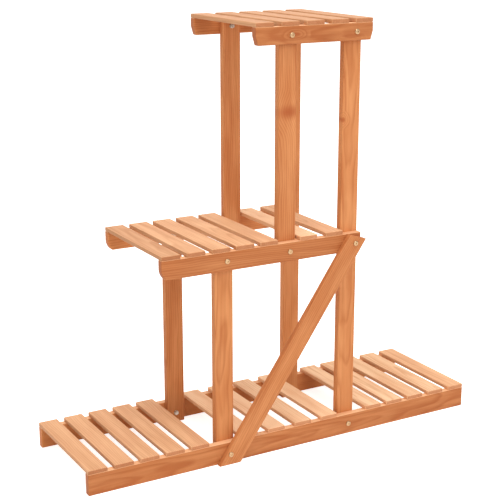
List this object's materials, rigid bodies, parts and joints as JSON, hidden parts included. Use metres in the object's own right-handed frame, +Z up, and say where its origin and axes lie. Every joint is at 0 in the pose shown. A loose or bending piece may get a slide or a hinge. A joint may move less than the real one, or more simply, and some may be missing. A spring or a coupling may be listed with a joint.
{
  "type": "plant stand",
  "caption": "Stepped slatted wooden plant stand with bolted posts, three offset shelves and a diagonal front brace.",
  "frame": {"origin": "on the floor, below the middle of the whole stand", "axes": "+X along the shelves from the low end to the step side with the tall posts, +Y from front to back, +Z up"},
  "size_m": [0.848, 0.2656, 0.82],
  "materials": {
    "frame_wood": "stained softwood, satin",
    "slat_wood": "stained softwood, satin",
    "plated_bolt": "yellow zinc plate",
    "bright_zinc": "bright zinc plate"
  },
  "bodies": {
    "root": {"bolt_nuts": "bright_zinc", "bottom_back_rail": "frame_wood", "bottom_front_rail": "frame_wood", "bottom_slat_01": "slat_wood", "bottom_slat_02": "slat_wood", "bottom_slat_03": "slat_wood", "bottom_slat_04": "slat_wood", "bottom_slat_05": "slat_wood", "bottom_slat_06": "slat_wood", "bottom_slat_07": "slat_wood", "bottom_slat_08": "slat_wood", "bottom_slat_09": "slat_wood", "bottom_slat_10": "slat_wood", "bottom_slat_11": "slat_wood", "bottom_slat_12": "slat_wood", "bottom_slat_13": "slat_wood", "bottom_slat_14": "slat_wood", "brace_bolts": "plated_bolt", "diagonal_brace": "frame_wood", "lower_back_post": "frame_wood", "lower_front_post": "frame_wood", "middle_back_rail": "frame_wood", "middle_front_rail": "frame_wood", "middle_slat_01": "slat_wood", "middle_slat_02": "slat_wood", "middle_slat_03": "slat_wood", "middle_slat_04": "slat_wood", "middle_slat_05": "slat_wood", "middle_slat_06": "slat_wood", "middle_slat_07": "slat_wood", "rail_bolts": "plated_bolt", "tall_back_post": "frame_wood", "tall_front_post": "frame_wood", "top_back_rail": "frame_wood", "top_front_rail": "frame_wood", "top_slat_01": "slat_wood", "top_slat_02": "slat_wood", "top_slat_03": "slat_wood", "top_slat_04": "slat_wood", "top_slat_05": "slat_wood", "upper_back_post": "frame_wood", "upper_front_post": "frame_wood"}
  },
  "joints": []
}
